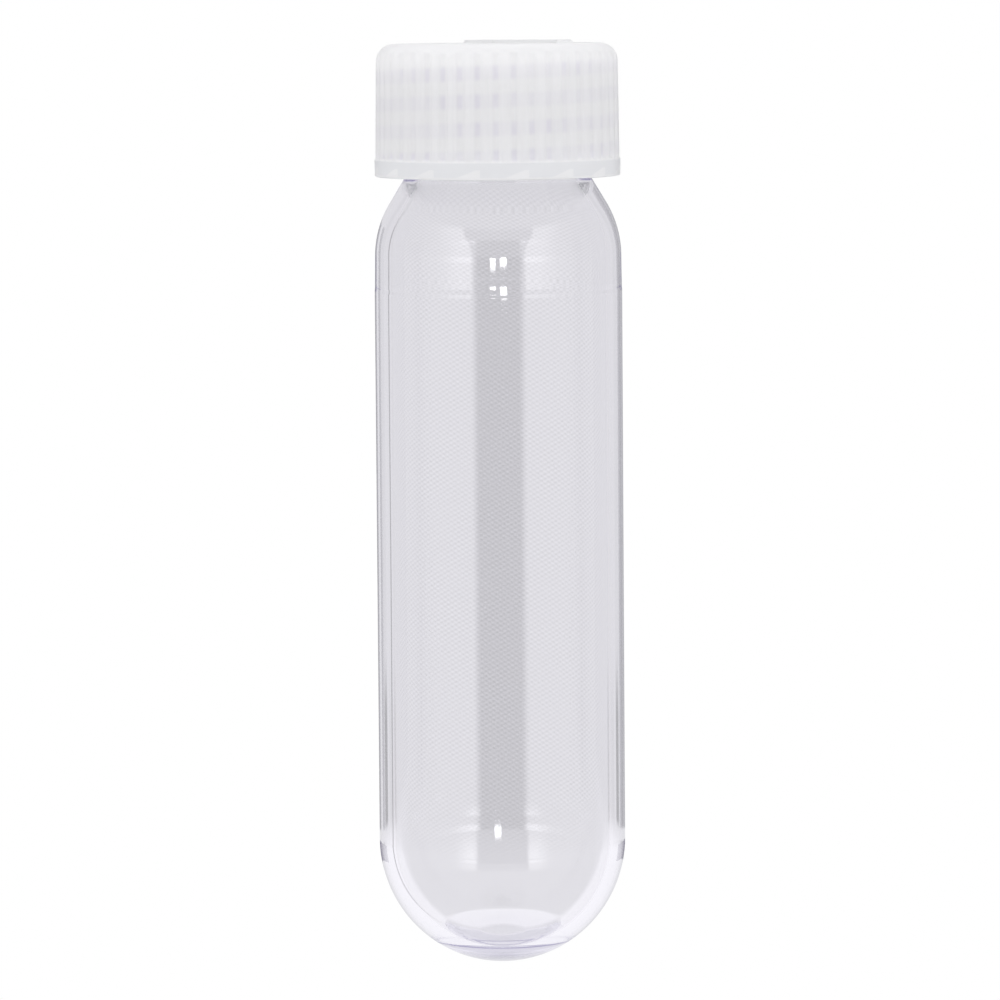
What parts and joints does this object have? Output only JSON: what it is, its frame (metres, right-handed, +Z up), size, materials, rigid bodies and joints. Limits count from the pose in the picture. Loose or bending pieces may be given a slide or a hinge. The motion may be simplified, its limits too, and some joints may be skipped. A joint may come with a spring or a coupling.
{
  "type": "screw-cap test tube",
  "caption": "Clear round-bottom polycarbonate test tube with a ribbed translucent screw cap and a gasket, for holding and spinning samples.",
  "frame": {"origin": "lowest point of the round bottom, on the tube's axis", "axes": "+Z up along the tube's axis, towards the cap; -Y is the side the picture shows"},
  "size_m": [0.0288, 0.0288, 0.1076],
  "materials": {
    "clear_tube": "clear polished polycarbonate",
    "natural_cap": "natural translucent polypropylene, satin",
    "gasket": "translucent silicone"
  },
  "bodies": {
    "tube": {"tube_body": "clear_tube"},
    "gasket": {"sealing_gasket": "gasket"},
    "cap": {"screw_cap": "natural_cap"}
  },
  "joints": [
    {"name": "cap_lift", "type": "slide", "parent": "tube", "child": "gasket", "axis": [0, 0, 1], "range_m": [0, 0.016]},
    {"name": "cap_turn", "type": "hinge", "parent": "gasket", "child": "cap", "pos_m": [0, 0, 0.099], "axis": [0, 0, 1], "range_deg": [0, 1800]}
  ],
  "couplings": [
    {"joint": "cap_lift", "follows": "cap_turn", "m_per_rad": 0.00050532}
  ]
}
